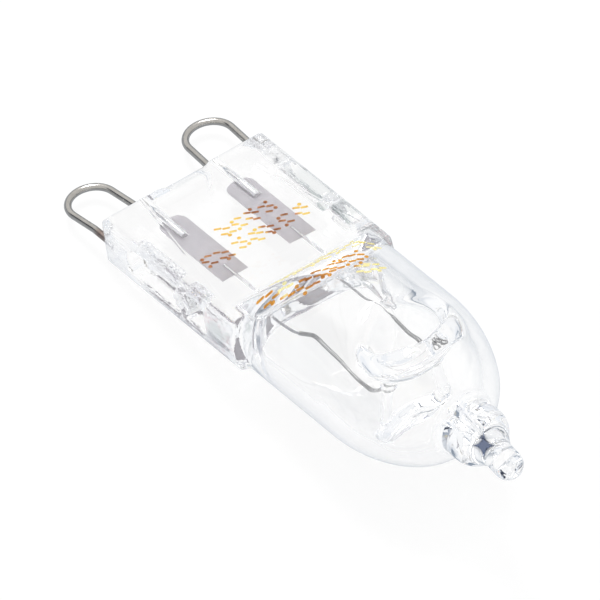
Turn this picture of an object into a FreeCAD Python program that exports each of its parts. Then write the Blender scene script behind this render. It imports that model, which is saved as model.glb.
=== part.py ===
import FreeCAD, Part
import math
import os

# Halogen capsule lamp, 9 mm between its two wire contact loops. Millimetres.
# Lamp axes, used by every function but the last: X from the contact end to the sealed tip, Y across the
# pinch, Z through its thickness. X = 0 is the contact end of the pinch, Z = 0 its mid-plane.
# At the end the lamp is laid down as it rests on a table: on the rounded end of its pinch and on the
# shoulder of its bulb, with its tip in the air.

V = FreeCAD.Vector
X_AXIS = V(1, 0, 0)
Y_AXIS = V(0, 1, 0)
Z_AXIS = V(0, 0, 1)
LEFT = -1
RIGHT = 1

# Wire contact loops
loop_spacing = 9.0        # between the middles of the two loops
leg_pitch = 3.27          # between the two legs of one loop
loop_wire = 0.5
loop_reach = 4.1          # how far the loops stand out of the pinch
splay_left = 6.0          # degrees that the left loop leans outwards
splay_right = 3.0
splay_bend = 1.2          # bend radius where a leg starts to lean
outer_leg_grip = 2.4      # length of an outer leg inside the glass
weld_overlap = 2.2        # length of an inner leg that lies on its foil
wire_gap = 0.03           # the glass stays this far from every wire

# Pinch
pinch_length = 15.9
pinch_thickness = 4.3
rail_cover = 0.415        # from the middle of an outer leg to the narrow side, at the mid-plane
side_draft = 9.0          # degrees that the narrow sides lean in from the mid-plane
face_edge = 0.5           # rounding along the broad faces
end_corner = 2.4          # rounding of the contact end, seen on the broad face
neck_corner = 0.6         # rounding of the corners beside the bulb
web_setback = 0.8         # the web between the loops ends short of the two rails
web_corner = 0.35

# Pocket in each narrow side
pocket_start = 4.2
pocket_setback = 3.3      # from the end of the pocket to the bulb end of the pinch
pocket_height = 2.3
pocket_corner = 0.8
pocket_depth = 1.4        # from the widest part of the side
boss_setback = 2.8        # from the middle of the boss to the end of the pocket
boss_diameter = 1.9
boss_sink = 0.25          # the top of the boss lies this far under the widest part of the side
dish_diameter = 1.4
dish_depth = 0.25         # of the round hollow in the boss
pit_setback = 2.0         # from the middle of the pit to the bulb end of the pinch
pit_diameter = 1.9
pit_depth = 1.35          # from the widest part of the side

# Foils
foil_start = 3.4
foil_length = 7.5
foil_width = 2.0
foil_thickness = 0.05
foil_shift = 0.205        # the middle of a foil lies this far inwards of its wire
foil_end_round = 0.8      # at the contact end

# Bulb
bulb_radius = 5.8
bulb_wall = 1.0
shoulder_setback = 1.4    # the broad faces turn up into the bulb this far before the pinch ends
shoulder_slope = 42.0     # degrees
shoulder_foot = 0.8       # radius at the foot of the slope
shoulder_round = 6.0      # radius at the top of the slope
shoulder_clear = 0.05     # the jaws closed this much wider than the tube
body_length = 10.0        # from the foot of the shoulder to the dome
dome_length = 9.2
dome_side_radius = 13.3   # of the dome's long curve
dome_wall = 1.9           # at the tip
cavity_setback = 0.8      # from the foot of the shoulder to the cavity
cavity_corner = 2.3       # rounding of the cavity's base end, seen on the broad face
cavity_throat = 0.8       # half height of the cavity at its base end
cavity_level = 0.6        # length of the level part in front of the cavity's slopes

# Sealed exhaust tip
tip_sink = 1.4            # the collar starts this far inside the end of the dome
collar_root_radius = 1.9
collar_radius = 2.15
collar_middle = 1.7       # from the root
collar_end = 2.7          # from the root
collar_end_radius = 1.5
tip_lean = 6.0            # degrees that the nub leans to the left
nub_radius = 1.0
nub_flare = 0.55          # length of the taper from the collar to the nub
nub_root_radius = 1.9     # of that taper, inside the collar
nub_length = 2.35         # of its straight part and its round end
bore_radius = 0.7         # mouth of the closed exhaust bore
bore_length = 3.6

# Pressed bridge that holds the filament
bridge_setback = 2.0      # from the start of the dome
jaw_radius = 4.0          # radius of the rim of the wheel-shaped press jaws
jaw_flank = 22.0          # degrees, half the angle of the jaw's rim
jaw_nose = 0.7            # radius of the jaw's rim in section
jaw_height_top = 5.6      # of the upper jaw's axis
jaw_height_bottom = 6.9   # of the lower jaw's axis, below the lamp's axis
bridge_wall = 0.9
post_radius = 0.42
post_flare = 0.5
post_top_offset = 1.7     # from the lamp's axis
post_foot_offset = 2.4
post_bite = 0.35          # how far a post runs on into the glass at both ends

# Inner leads and filament
lead_wire = 0.18
lead_weld = 1.2           # length of a lead that lies on its foil
lead_straight = 0.6       # a lead runs straight this far into the cavity
lead_bend = 1.5
lead_run = 0.6            # the end of a lead is in line with the coil for this length
coil_diameter = 0.3
coil_drop = 0.8           # from the top of the posts down to the coil that lies against them
coil_clear = 0.08         # between the coil and a post
coil_setback_left = 2.5   # from the cavity's base end to the start of the coil
coil_setback_right = 4.5
coil_start_offset = 2.5   # from the lamp's axis
coil_start_height = 0.05
coil_crest_run = 2.1      # the left leg of the coil lifts to its crest over this length
coil_crest = 1.15
coil_level_run = 2.4      # the left leg runs level for this length before the bridge
coil_bend = 1.4

wire_radius = loop_wire / 2
lead_radius = lead_wire / 2
coil_radius = coil_diameter / 2
half_thickness = pinch_thickness / 2
pinch_width = loop_spacing + leg_pitch + 2 * rail_cover
splay = {LEFT: splay_left, RIGHT: splay_right}
foil_top = -wire_radius
foil_end = foil_start + foil_length
foil_offset = (loop_spacing - leg_pitch) / 2 - foil_shift
shoulder_start = pinch_length - shoulder_setback
dome_start = shoulder_start + body_length
dome_end = dome_start + dome_length
cavity_start = shoulder_start + cavity_setback
bridge_x = dome_start + bridge_setback
lead_bend_x = cavity_start + lead_straight
coil_start = {LEFT: cavity_start + coil_setback_left, RIGHT: cavity_start + coil_setback_right}
diagonal = math.sqrt(0.5)  # sine and cosine of 45 degrees


def rounded_path(points, radii, closed=True):
    """A wire through the points, with each corner rounded to its radius. A radius of 0 keeps it sharp."""
    count = len(points)
    entries, exits, bends = [], [], []
    for i, corner in enumerate(points):
        is_end = not closed and i in (0, count - 1)
        if is_end or radii[i] == 0:
            entries.append(corner)
            exits.append(corner)
            bends.append(None)
            continue
        back = (points[i - 1] - corner).normalize()
        ahead = (points[(i + 1) % count] - corner).normalize()
        half = back.getAngle(ahead) / 2
        trim = radii[i] / math.tan(half)
        middle = corner + (back + ahead).normalize() * (radii[i] / math.sin(half) - radii[i])
        entries.append(corner + back * trim)
        exits.append(corner + ahead * trim)
        bends.append(middle)
    edges = []
    for i in range(count):
        if bends[i]:
            edges.append(Part.Arc(entries[i], bends[i], exits[i]).toShape())
        if closed or i < count - 1:
            following = entries[(i + 1) % count]
            if exits[i].distanceToPoint(following) > 1e-6:
                edges.append(Part.LineSegment(exits[i], following).toShape())
    return Part.Wire(edges)


def prism(outline, direction):
    """Solid swept from a closed flat outline."""
    return Part.Face(outline).extrude(direction)


def tube(path, radius):
    """Round bar along an open path."""
    first = path.OrderedEdges[0]
    start = first.valueAt(first.FirstParameter)
    heading = first.tangentAt(first.FirstParameter)
    if first.Orientation == "Reversed":
        start = first.valueAt(first.LastParameter)
        heading = first.tangentAt(first.LastParameter) * -1
    section = Part.Wire([Part.makeCircle(radius, start, heading)])
    return path.makePipeShell([section], True, False)


def turned(edges, start_x, end_x):
    """Solid turned about the X axis, from edges that leave it at start_x and come back to it at end_x."""
    outline = Part.Wire(edges + [Part.LineSegment(V(end_x, 0, 0), V(start_x, 0, 0)).toShape()])
    return Part.Face(outline).revolve(V(0, 0, 0), X_AXIS, 360)


def line(x0, z0, x1, z1):
    return Part.LineSegment(V(x0, 0, z0), V(x1, 0, z1)).toShape()


def arc(x0, z0, x1, z1, x2, z2):
    """Arc in the XZ plane through three points."""
    return Part.Arc(V(x0, 0, z0), V(x1, 0, z1), V(x2, 0, z2)).toShape()


def dome_edges(start, reach, radius, side_radius):
    """Two tangent arcs from the wall of a tube down to the X axis: a long side curve and a round nose."""
    nose_centre = ((side_radius - radius) ** 2 - (side_radius - reach) ** 2) / (2 * (side_radius - reach))
    nose_radius = reach - nose_centre
    turn = math.atan2(side_radius - radius, nose_centre)

    def on_side(angle):
        return start + side_radius * math.cos(angle), radius - side_radius + side_radius * math.sin(angle)

    def on_nose(angle):
        return start + nose_centre + nose_radius * math.cos(angle), nose_radius * math.sin(angle)

    return [arc(*on_side(math.pi / 2), *on_side((math.pi / 2 + turn) / 2), *on_side(turn)),
            arc(*on_nose(turn), *on_nose(turn / 2), *on_nose(0))]


# Pinch

def pinch_section():
    """Section across the pinch: six-sided, widest at the mid-plane."""
    half_width = pinch_width / 2
    lean = half_thickness * math.tan(math.radians(side_draft))
    corners = [(half_width, 0), (half_width - lean, half_thickness), (lean - half_width, half_thickness),
               (-half_width, 0), (lean - half_width, -half_thickness), (half_width - lean, -half_thickness)]
    radii = [0, face_edge, face_edge, 0, face_edge, face_edge]
    return rounded_path([V(0, y, z) for y, z in corners], radii)


def pinch_plan():
    """Outline of the pinch on its broad face, with the web set back between the rails."""
    half_width = pinch_width / 2
    web_half = (loop_spacing - leg_pitch) / 2 - loop_wire
    corners = [(0, -half_width), (pinch_length, -half_width), (pinch_length, half_width), (0, half_width),
               (0, web_half + web_setback), (web_setback, web_half),
               (web_setback, -web_half), (0, -web_half - web_setback)]
    radii = [end_corner, neck_corner, neck_corner, end_corner, web_corner, web_corner, web_corner, web_corner]
    return rounded_path([V(x, y, -half_thickness) for x, y in corners], radii)


def pinch_side():
    """Side view of the pinch: its contact end is a full round."""
    edges = [arc(half_thickness, -half_thickness, 0, 0, half_thickness, half_thickness),
             line(half_thickness, half_thickness, pinch_length, half_thickness),
             line(pinch_length, half_thickness, pinch_length, -half_thickness),
             line(pinch_length, -half_thickness, half_thickness, -half_thickness)]
    outline = Part.Wire(edges)
    outline.translate(V(0, -pinch_width / 2, 0))
    return outline


def pinch_block():
    across = prism(pinch_section(), X_AXIS * pinch_length)
    plan = prism(pinch_plan(), Z_AXIS * pinch_thickness)
    side = prism(pinch_side(), Y_AXIS * pinch_width)
    return across.common(side).common(plan)


def side_pocket(side):
    """What is taken out of one narrow side: a long pocket around a dished boss, and a round pit."""
    widest = pinch_width / 2
    floor = widest - pocket_depth
    top = pocket_height / 2
    end = pinch_length - pocket_setback
    corners = [V(pocket_start, floor, -top), V(end, floor, -top),
               V(end, floor, top), V(pocket_start, floor, top)]
    pocket = prism(rounded_path(corners, [pocket_corner] * 4), Y_AXIS * pocket_depth)
    boss_height = pocket_depth - boss_sink
    boss = Part.makeCylinder(boss_diameter / 2, boss_height, V(end - boss_setback, floor, 0), Y_AXIS)
    dish_floor = V(end - boss_setback, floor + boss_height - dish_depth, 0)
    pocket = pocket.cut(boss.cut(Part.makeCylinder(dish_diameter / 2, dish_depth, dish_floor, Y_AXIS)))
    pit_radius = pit_diameter / 2
    pit_base = V(pinch_length - pit_setback, widest - pit_depth + pit_radius, 0)
    pit = Part.makeCylinder(pit_radius, widest - pit_base.y, pit_base, Y_AXIS)
    pit = pit.fuse(Part.makeSphere(pit_radius, pit_base))
    cut = pocket.fuse(pit)
    return cut if side == RIGHT else cut.mirror(V(0, 0, 0), Y_AXIS)


# Bulb

def shoulder_limits():
    """Space between the press jaws, as a prism across the lamp: it gives the bulb its sloped shoulders."""
    height = bulb_radius + shoulder_clear
    run = (height - half_thickness) / math.tan(math.radians(shoulder_slope))
    top = shoulder_start + run
    start = shoulder_start - shoulder_foot
    upper = [(start, half_thickness), (shoulder_start, half_thickness), (top, height), (dome_end, height)]
    lower = [(x, -z) for x, z in reversed(upper)]
    bends = [0, shoulder_foot, shoulder_round, 0]
    corners = [V(x, -bulb_radius, z) for x, z in upper + lower]
    return prism(rounded_path(corners, bends + bends[::-1]), Y_AXIS * (2 * bulb_radius))


def bulb_outside():
    start = shoulder_start - shoulder_foot
    edges = [line(start, 0, start, bulb_radius),
             line(start, bulb_radius, dome_start, bulb_radius)]
    edges += dome_edges(dome_start, dome_length, bulb_radius, dome_side_radius)
    return turned(edges, start, dome_end).common(shoulder_limits())


def jaw(height, wall, above):
    """Wheel-shaped press jaw across the bulb. With a wall it stands for the glass that the jaw pushed in."""
    half_angle = math.radians(jaw_flank)
    nose = jaw_nose + wall
    apex = jaw_radius + wall + nose * (1 / math.sin(half_angle) - 1)
    half_width = apex * math.tan(half_angle)
    turn = -1 if above else 1
    axis_z = height if above else -height
    corners = [V(bridge_x - half_width, 0, axis_z), V(bridge_x + half_width, 0, axis_z),
               V(bridge_x, 0, axis_z + turn * apex)]
    outline = rounded_path(corners, [0, 0, nose])
    return Part.Face(outline).revolve(V(bridge_x, 0, axis_z), X_AXIS, 360)


def ridge_height(offset, above):
    """Height of the crest of a pressed-in ridge, at a distance from the lamp's axis."""
    drop = math.sqrt((jaw_radius + bridge_wall) ** 2 - offset ** 2)
    return jaw_height_top - drop if above else drop - jaw_height_bottom


def post_ends(side):
    """Where the middle line of a bridge post meets the two ridges."""
    top = V(bridge_x, side * post_top_offset, ridge_height(post_top_offset, True))
    foot = V(bridge_x, side * post_foot_offset, ridge_height(post_foot_offset, False))
    return top, foot


def bridge_post(side):
    """Solid glass post between the ridges, flared at both ends and leaning outwards to its foot."""
    top, foot = post_ends(side)
    half = (top - foot).Length / 2
    wide = post_radius + post_flare
    end = half + post_bite
    edges = [line(0, 0, 0, post_radius),
             line(0, post_radius, half - post_flare, post_radius),
             line(half - post_flare, post_radius, half, wide),
             line(half, wide, end, wide),
             line(end, wide, end, 0)]
    upper = turned(edges, 0, end)
    post = upper.fuse(upper.mirror(V(0, 0, 0), X_AXIS))
    post.rotate(V(0, 0, 0), Y_AXIS, -90)
    lean = math.degrees(math.atan2(foot.y - top.y, top.z - foot.z))
    post.rotate(V(0, 0, 0), X_AXIS, lean)
    post.translate((top + foot) * 0.5)
    return post


def cavity_limits():
    """The cavity under the sloped shoulders, as a prism across the lamp."""
    height = bulb_radius
    slope = math.tan(math.radians(shoulder_slope))
    top = cavity_start + (height - cavity_throat) / slope
    upper = [(cavity_start - cavity_level, cavity_throat), (cavity_start, cavity_throat),
             (top, height), (dome_end, height)]
    lower = [(x, -z) for x, z in reversed(upper)]
    bends = [0, cavity_throat / 2, 0, 0]
    corners = [V(x, -bulb_radius, z) for x, z in upper + lower]
    return prism(rounded_path(corners, bends + bends[::-1]), Y_AXIS * (2 * bulb_radius))


def bulb_inside():
    """The gas space: a round bore with a domed end, less the pressed ridges and the posts."""
    bore = bulb_radius - bulb_wall
    dome_reach = dome_length - dome_wall
    corner_end = cavity_start + cavity_corner
    flat = bore - cavity_corner
    middle = cavity_corner * diagonal
    edges = [line(cavity_start, 0, cavity_start, flat),
             arc(cavity_start, flat, corner_end - middle, flat + middle, corner_end, bore),
             line(corner_end, bore, dome_start, bore)]
    edges += dome_edges(dome_start, dome_reach, bore, dome_side_radius - bulb_wall)
    space = turned(edges, cavity_start, dome_start + dome_reach).common(cavity_limits())
    space = space.cut(jaw(jaw_height_top, bridge_wall, True))
    space = space.cut(jaw(jaw_height_bottom, bridge_wall, False))
    for side in (LEFT, RIGHT):
        space = space.cut(bridge_post(side))
    return space


# Sealed tip

def tip_collar():
    """Bulging ring of glass where the exhaust tube joined the dome."""
    bulge = [line(0, 0, 0, collar_root_radius),
             arc(0, collar_root_radius, collar_middle, collar_radius, collar_end, collar_end_radius),
             line(collar_end, collar_end_radius, collar_end + nub_flare / 2, 0)]
    collar = turned(bulge, 0, collar_end + nub_flare / 2)
    collar.translate(V(dome_end - tip_sink, 0, 0))
    return collar


def tip_nub():
    """Rounded nub left where the tube was melted off, leaning a little to the left out of the collar."""
    flare_end = collar_end - collar_middle + nub_flare
    length = flare_end + nub_length - nub_radius
    origin = V(0, 0, 0)
    nub = Part.makeCylinder(nub_radius, length, origin, X_AXIS)
    nub = nub.fuse(Part.makeSphere(nub_radius, V(length, 0, 0)))
    nub = nub.fuse(Part.makeCone(nub_root_radius, nub_radius, flare_end, origin, X_AXIS))
    nub.rotate(origin, Z_AXIS, -tip_lean)
    nub.translate(V(dome_end - tip_sink + collar_middle, 0, 0))
    return nub


def exhaust_bore():
    """What is left of the tube's bore: a narrow cone that ends blind in the collar."""
    start = dome_end - dome_wall - bore_radius
    end = start + bore_length
    return turned([line(start, 0, start, bore_radius), line(start, bore_radius, end, 0)], start, end)


# Metal parts

def loop_path(side, extra=0.0):
    """Middle line of a contact loop, seen from its outer end to its foil. Extra lengthens both ends."""
    middle = side * loop_spacing / 2
    lean = math.radians(splay[side])
    outward = V(-math.cos(lean), side * math.sin(lean), 0)
    across = V(math.sin(lean), side * math.cos(lean), 0)
    bend_radius = leg_pitch / 2 * math.cos(lean)
    bend_centre = V(0, middle, 0) + outward * (loop_reach - wire_radius - bend_radius)
    outer_bend = V(0, middle + side * leg_pitch / 2, 0)
    inner_bend = V(0, middle - side * leg_pitch / 2, 0)
    outer_end = outer_bend + X_AXIS * (outer_leg_grip + extra)
    inner_end = inner_bend + X_AXIS * (foil_start + weld_overlap + extra)
    outer_leg = rounded_path([outer_end, outer_bend, bend_centre + across * bend_radius],
                             [0, splay_bend, 0], closed=False)
    inner_leg = rounded_path([bend_centre - across * bend_radius, inner_bend, inner_end],
                             [0, splay_bend, 0], closed=False)
    bend = Part.Arc(bend_centre + across * bend_radius, bend_centre + outward * bend_radius,
                    bend_centre - across * bend_radius).toShape()
    return Part.Wire(outer_leg.OrderedEdges + [bend] + inner_leg.OrderedEdges)


def contact_loop(side):
    return tube(loop_path(side), wire_radius)


def foil(side):
    """Thin sealing foil, rounded at its contact end, just under the wires that are welded to it."""
    middle = side * foil_offset
    half = foil_width / 2
    corners = [V(foil_start, middle - half, foil_top), V(foil_end, middle - half, foil_top),
               V(foil_end, middle + half, foil_top), V(foil_start, middle + half, foil_top)]
    outline = rounded_path(corners, [foil_end_round, 0, 0, foil_end_round])
    return prism(outline, Z_AXIS * -foil_thickness)


def coil_points():
    """Corners of the coil's middle line, from its left end, past the base side of the posts, to its right end."""
    reach = post_radius + coil_radius + coil_clear
    top, foot = post_ends(RIGHT)
    leg = top.y + (foot.y - top.y) * coil_drop / (top.z - foot.z) + reach
    height = top.z - coil_drop
    far = bridge_x - reach
    return [V(coil_start[LEFT], -coil_start_offset, coil_start_height),
            V(coil_start[LEFT] + coil_crest_run, -leg, coil_crest),
            V(bridge_x - coil_level_run, -leg, height),
            V(far, -leg, height),
            V(far, leg, height),
            V(coil_start[RIGHT], coil_start_offset, coil_start_height)]


def lead_points(side):
    """Corners of a lead's middle line. Its last stretch is in line with the start of the coil."""
    height = foil_top + lead_radius
    coil = coil_points() if side == LEFT else coil_points()[::-1]
    heading = (coil[1] - coil[0]).normalize()
    return [V(foil_end - lead_weld, side * foil_offset, height),
            V(lead_bend_x, side * foil_offset, height),
            coil[0] - heading * lead_run,
            coil[0]]


def inner_lead(side, radius=lead_radius, extra=0.0):
    """Lead from a foil into the bulb, up to the start of the coil."""
    points = lead_points(side)
    points[0] = points[0] - X_AXIS * extra
    return tube(rounded_path(points, [0, lead_bend, lead_bend, 0], closed=False), radius)


def filament():
    """The coil, as the bar that its turns fill."""
    hook = post_radius + coil_radius + coil_clear
    return tube(rounded_path(coil_points(), [0, coil_bend, coil_bend, hook, hook, 0], closed=False), coil_radius)


def wire_channels():
    """Room that the glass leaves round the wires that run through it."""
    channels = []
    for side in (LEFT, RIGHT):
        channels.append(tube(loop_path(side, wire_gap), wire_radius + wire_gap))
        channels.append(inner_lead(side, lead_radius + wire_gap, wire_gap))
    return channels


def quartz_envelope():
    """One piece of quartz glass: pinch, bulb with its pressed bridge, and sealed tip."""
    glass = pinch_block().fuse(bulb_outside()).fuse(tip_collar()).fuse(tip_nub())
    glass = glass.cut(jaw(jaw_height_top, 0, True)).cut(jaw(jaw_height_bottom, 0, False))
    glass = glass.cut(bulb_inside().fuse(exhaust_bore()))
    for side in (LEFT, RIGHT):
        glass = glass.cut(side_pocket(side)).cut(foil(side))
    for channel in wire_channels():
        glass = glass.cut(channel)
    return glass


# Resting place

def resting_tilt():
    """Angle in degrees at which the lamp lies, tip up: a table touches the round end and the shoulder."""
    height = bulb_radius + shoulder_clear
    slope = math.radians(shoulder_slope)
    run = (height - half_thickness) / math.tan(slope)
    round_x = shoulder_start + run + shoulder_round * math.tan(slope / 2)
    round_z = shoulder_round - height
    along = round_x - half_thickness
    reach = math.hypot(along, round_z)
    return math.degrees(math.asin((shoulder_round - half_thickness) / reach) - math.atan2(round_z, along))


def lay_down(shapes):
    """Tilts the lamp to its resting pose and puts the origin under the middle of its box, on the table."""
    for shape in shapes.values():
        shape.rotate(V(0, 0, 0), Y_AXIS, -resting_tilt())
    box = FreeCAD.BoundBox()
    for shape in shapes.values():
        box.add(shape.optimalBoundingBox(False, False))
    shift = V(-box.Center.x, -box.Center.y, -box.ZMin)
    for shape in shapes.values():
        shape.translate(shift)
    return shift


def main():
    shapes = {
        "quartz_envelope": quartz_envelope(),
        "contact_loop_left": contact_loop(LEFT),
        "contact_loop_right": contact_loop(RIGHT),
        "foil_left": foil(LEFT),
        "foil_right": foil(RIGHT),
        "inner_lead_left": inner_lead(LEFT),
        "inner_lead_right": inner_lead(RIGHT),
        "filament": filament(),
    }
    shift = lay_down(shapes)
    print("tilt", round(resting_tilt(), 4), "shift", [round(v, 4) for v in shift])
    os.makedirs("parts", exist_ok=True)
    for name, shape in shapes.items():
        solids = shape.Solids
        print(name, "solids", len(solids), "valid", shape.isValid(), "volume", round(shape.Volume, 4))
        solid = solids[0] if len(solids) == 1 else Part.makeCompound(solids)
        solid.exportStep(f"parts/{name}.step")


main()
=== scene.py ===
import math

import bpy
from mathutils import Matrix, Vector


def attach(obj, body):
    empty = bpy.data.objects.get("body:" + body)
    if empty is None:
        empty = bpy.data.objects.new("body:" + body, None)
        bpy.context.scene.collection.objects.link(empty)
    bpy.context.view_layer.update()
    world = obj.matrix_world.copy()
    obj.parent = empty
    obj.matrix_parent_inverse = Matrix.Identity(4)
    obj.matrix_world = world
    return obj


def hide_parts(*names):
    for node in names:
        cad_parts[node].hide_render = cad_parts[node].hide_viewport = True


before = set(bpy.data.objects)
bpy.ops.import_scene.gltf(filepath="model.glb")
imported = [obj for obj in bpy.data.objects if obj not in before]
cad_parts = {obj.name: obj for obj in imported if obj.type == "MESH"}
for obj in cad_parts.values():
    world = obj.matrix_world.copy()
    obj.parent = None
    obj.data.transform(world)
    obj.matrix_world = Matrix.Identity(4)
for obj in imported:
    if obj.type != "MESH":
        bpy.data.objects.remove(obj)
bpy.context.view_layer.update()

# Clear quartz capsule lamp, lying tip up on a pale table.
# The pieces are modelled in the lamp's own axes, in millimetres: X from the contact end of the pinch to the
# sealed tip, Y across the pinch, Z through its thickness. PLACE then lays them down in metres.

ALONG, ACROSS, THROUGH = range(3)
LEFT, RIGHT = -1, 1
UP, DOWN = 1, -1
METRES = 0.001
TILT = math.radians(11.3826)
REST = Vector((-16.5687, 0.0293, 1.7257))
PLACE = Matrix.Scale(METRES, 4) @ Matrix.Translation(REST) @ Matrix.Rotation(-TILT, 4, "Y")

# Cutting tools: how far they reach past the glass, and how near a picked edge is to its place and direction
BEYOND = 1
NEAR = 0.01
PARALLEL = 0.99

# Pinch
PINCH_LENGTH = 15.9
PINCH_HALF_WIDTH = 6.55
HALF_THICKNESS = 2.15
SIDE_DRAFT = math.radians(9.0)
FACE_EDGE = 0.5
END_CORNER = 2.4
NECK_CORNER = 0.6
END_ROUND = 0.999 * HALF_THICKNESS
END_FACING = Vector((-0.697, 0, 0.717))
END_FLAT = 0.42
WEB_SETBACK = 0.8
WEB_FLANK = 0.6
WEB_HALF_WIDTH = 2.365

# Side pockets
POCKET_START, POCKET_END = 4.2, 12.6
POCKET_HALF_HEIGHT = 1.15
POCKET_CORNER = 0.8
POCKET_FLOOR = 5.15
BOSS_CENTRE = 9.8
BOSS_RADIUS = 0.95
BOSS_TOP = 6.3
BOSS_SINK = 0.5
DISH_RADIUS = 1.6
DISH_RISE = 1.35
PIT_CENTRE = 13.9
PIT_RADIUS = 0.95
PIT_FLOOR = 5.2
PIT_MOUTH = 8

# Bulb
BULB_RADIUS = 5.8
BULB_WALL = 1.0
BULB_START = 12.5
DOME_START = 24.2
DOME_LENGTH = 7.9
DOME_WALL = 1.4
DOME_SIDE = 11.0
DOME_END = DOME_START + DOME_LENGTH
SHOULDER_START = 14.5
SHOULDER_SLOPE = math.radians(42.0)
SHOULDER_ROUND = 6.0
CREST_SPARE = 0.05
CREST_NEAR = 0.1
CAVITY_START = 15.3
CAVITY_THROAT = 0.8
CAVITY_CORNER = 2.3

# Sealed tip
COLLAR_RINGS = [(30.9, 2.9), (31.2, 2.6), (31.5, 2.3), (31.9, 2.09), (32.3, 2.02), (33.0, 2.05), (33.5, 2.05),
                (33.9, 1.95), (34.2, 1.78), (34.4, 1.6), (34.55, 1.38), (34.65, 1.0)]
NUB_START = 34.0
NUB_LEAN = math.radians(6.0)
NUB_RADIUS = 1.0
NUB_ROOT_RADIUS = 1.72
NUB_FLARE = 1.55
NUB_LENGTH = 2.9
BORE_START, BORE_END = 29.9, 34.7
BORE_RADIUS, BORE_END_RADIUS = 0.7, 0.05

# Wires in the pinch
LOOP_RADIUS = 0.25
INNER_LEG, OUTER_LEG = 2.865, 6.135
INNER_LEG_END, OUTER_LEG_END = 5.6, 2.4
INNER_ROOM_START, OUTER_ROOM_START = 0.7, 1.7
WIRE_GAP = 0.03
LEAD_RADIUS = 0.09
LEAD_Y, LEAD_Z = 2.66, -0.16
LEAD_ROOM_START, LEAD_ROOM_END = 10.95, 15.1

# Coil
COIL_RADIUS = 0.15
COIL_WIRE_RADIUS = 0.024
COIL_WIRE_SIDES, COIL_TURN_STEPS = 5, 12
COIL_PITCH = 0.1
COIL_ROUTE = [(17.8, -2.5, 0.05), (19.9, -2.504, 1.15), (24.1, -2.504, 0.204), (25.85, -2.504, 0.204),
              (25.85, 2.504, 0.204), (19.8, 2.5, 0.05)]
COIL_BENDS = [0, 1.4, 1.4, 0.65, 0.65, 0]

# Pressed bridge
BRIDGE_X = 26.5
WHEEL_RADIUS = 4.0
WHEEL_NOSE = 0.7
WHEEL_FLANK = math.radians(22.0)
WHEEL_HUB_RADIUS = 0.05
WHEELS = ((5.6, 0.76), (-7.2, 1.0))     # height and relative width of the upper and the lower jaw
RIDGE_WALL = 0.9
POST_RADIUS = 0.42
POST_FLARE = 0.5
POST_TOP = (1.7, 1.0)
POST_FOOT = (2.4, -2.62)
POST_SIDES = 32

# Skin of the glass, and the stretch in which the rims of the bridge are softened
GLASS_GRAIN = 0.165
SKIN_PASSES = 4
SMOOTHING = 0.5
RIM_START, RIM_END = 20.5, 32.5
RIM_FADE_ALONG, RIM_FADE_UP = 2, 0.8
OUTER_RIM_HEIGHT, OUTER_RIM_PASSES = 2.8, 110
INNER_RIM_HEIGHT, INNER_RIM_PASSES = 1.9, 60


def only(piece):
    """Makes one piece the selected and active one."""
    bpy.ops.object.select_all(action="DESELECT")
    piece.select_set(True)
    bpy.context.view_layer.objects.active = piece
    return piece


def on_whole_mesh(piece, operator, **settings):
    """Runs a mesh operator on all of a piece."""
    only(piece)
    bpy.ops.object.mode_set(mode="EDIT")
    bpy.ops.mesh.select_all(action="SELECT")
    operator(**settings)
    bpy.ops.object.mode_set(mode="OBJECT")
    return piece


def named(name):
    piece = bpy.context.active_object
    piece.name = name
    piece.data.name = name
    return piece


def settle(piece):
    """Moves a piece's place, turn and size into its mesh."""
    only(piece)
    bpy.ops.object.transform_apply(location=True, rotation=True, scale=True)
    return piece


def block(name, low, high):
    low, high = Vector(low), Vector(high)
    bpy.ops.mesh.primitive_cube_add(size=1, location=(low + high) / 2, scale=high - low)
    return settle(named(name))


def rod(name, radius, start, end, sides=48, end_radius=None):
    """Round bar, or a cone, between two points."""
    start, end = Vector(start), Vector(end)
    along = end - start
    turn = along.to_track_quat("Z", "Y").to_euler()
    far_radius = radius if end_radius is None else end_radius
    bpy.ops.mesh.primitive_cone_add(vertices=sides, radius1=radius, radius2=far_radius, depth=along.length,
                                    location=(start + end) / 2, rotation=turn)
    return settle(named(name))


def lathe(name, profile, sides=96):
    """Solid turned about X: a disc drawn out and resized from one ring of the profile to the next."""
    (x, radius), rest = profile[0], profile[1:]
    bpy.ops.mesh.primitive_circle_add(vertices=sides, radius=radius, location=(x, 0, 0), fill_type="NGON",
                                      rotation=(0, math.pi / 2, 0))
    piece = settle(named(name))
    bpy.ops.object.mode_set(mode="EDIT")
    bpy.ops.mesh.select_all(action="SELECT")
    for next_x, next_radius in rest:
        bpy.ops.mesh.extrude_region_move(TRANSFORM_OT_translate={"value": (next_x - x, 0, 0)})
        grow = next_radius / radius
        bpy.ops.transform.resize(value=(1, grow, grow), center_override=(next_x, 0, 0))
        x, radius = next_x, next_radius
    bpy.ops.object.mode_set(mode="OBJECT")
    return on_whole_mesh(piece, bpy.ops.mesh.normals_make_consistent, inside=False)


LEAST_RING = 0.02
SIDE_STEPS, NOSE_STEPS, CORNER_STEPS = 14, 16, 12


def bow(centre_x, centre_r, radius, start, end, steps):
    """Rings of a profile along an arc, by angle from the X axis. None closes wholly, for the lathe's sake."""
    rings = []
    for i in range(steps + 1):
        angle = start + (end - start) * i / steps
        ring = max(centre_r + radius * math.sin(angle), LEAST_RING)
        rings.append((centre_x + radius * math.cos(angle), ring))
    return rings


def dome(start, reach, radius, side_radius):
    """Rings of a long side curve and a round nose, down to the X axis."""
    nose = ((side_radius - radius) ** 2 - (side_radius - reach) ** 2) / (2 * (side_radius - reach))
    turn = math.atan2(side_radius - radius, nose)
    side = bow(start, radius - side_radius, side_radius, math.pi / 2, turn, SIDE_STEPS)
    return side + bow(start + nose, 0, reach - nose, turn, 0, NOSE_STEPS)[1:]


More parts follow.
